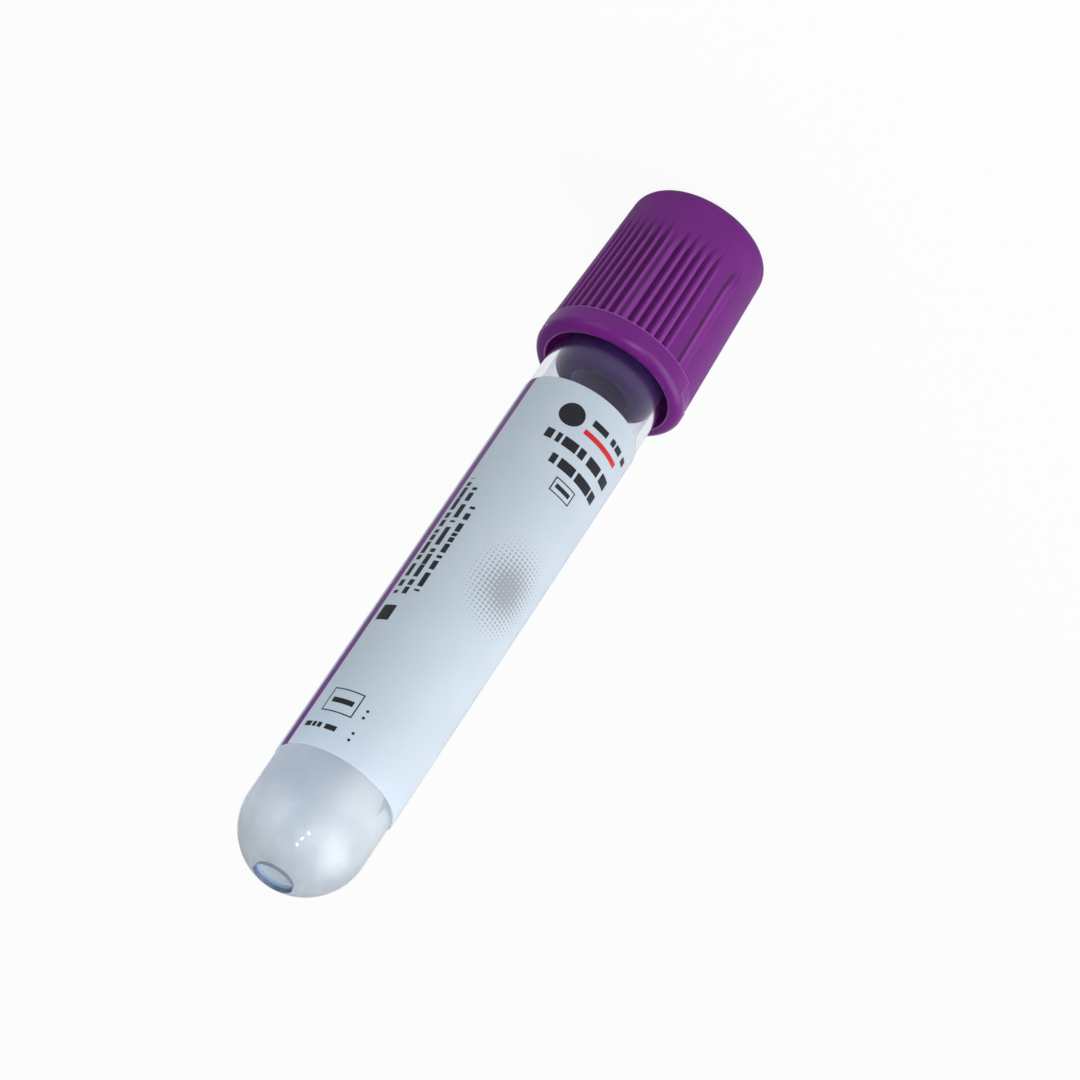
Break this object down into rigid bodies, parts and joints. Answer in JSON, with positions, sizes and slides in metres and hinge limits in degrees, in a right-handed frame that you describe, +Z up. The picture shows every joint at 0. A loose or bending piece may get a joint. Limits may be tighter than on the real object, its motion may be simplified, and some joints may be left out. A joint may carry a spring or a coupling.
{
  "type": "blood collection tube",
  "caption": "Clear round-bottomed tube with a wrapped label and a push-on fluted closure around a rubber stopper, made to draw, mix and keep a small blood sample.",
  "frame": {"origin": "on the tube's axis, on the surface that the closure's crown stands on", "axes": "+Z up along the tube, from the closure's crown to the tube's round end, because the tube stands upside down on its closure; -Y to the side with a short run of flutes in front"},
  "size_m": [0.0168, 0.0168, 0.0853],
  "materials": {
    "clear_plastic": "clear moulded plastic, glossy, water-white with a cool tint in its thickness",
    "label_film": "white film, satin, with a purple stripe and small printed marks",
    "purple_plastic": "purple moulded plastic, satin",
    "stopper_rubber": "dark grey rubber, smooth"
  },
  "bodies": {
    "closure": {"cap": "purple_plastic", "stopper": "stopper_rubber"},
    "tube": {"tube": "clear_plastic", "label": "label_film"}
  },
  "joints": [
    {"name": "tube_pull", "type": "slide", "parent": "closure", "child": "tube", "axis": [0, 0, 1], "range_m": [0, 0.02]}
  ]
}
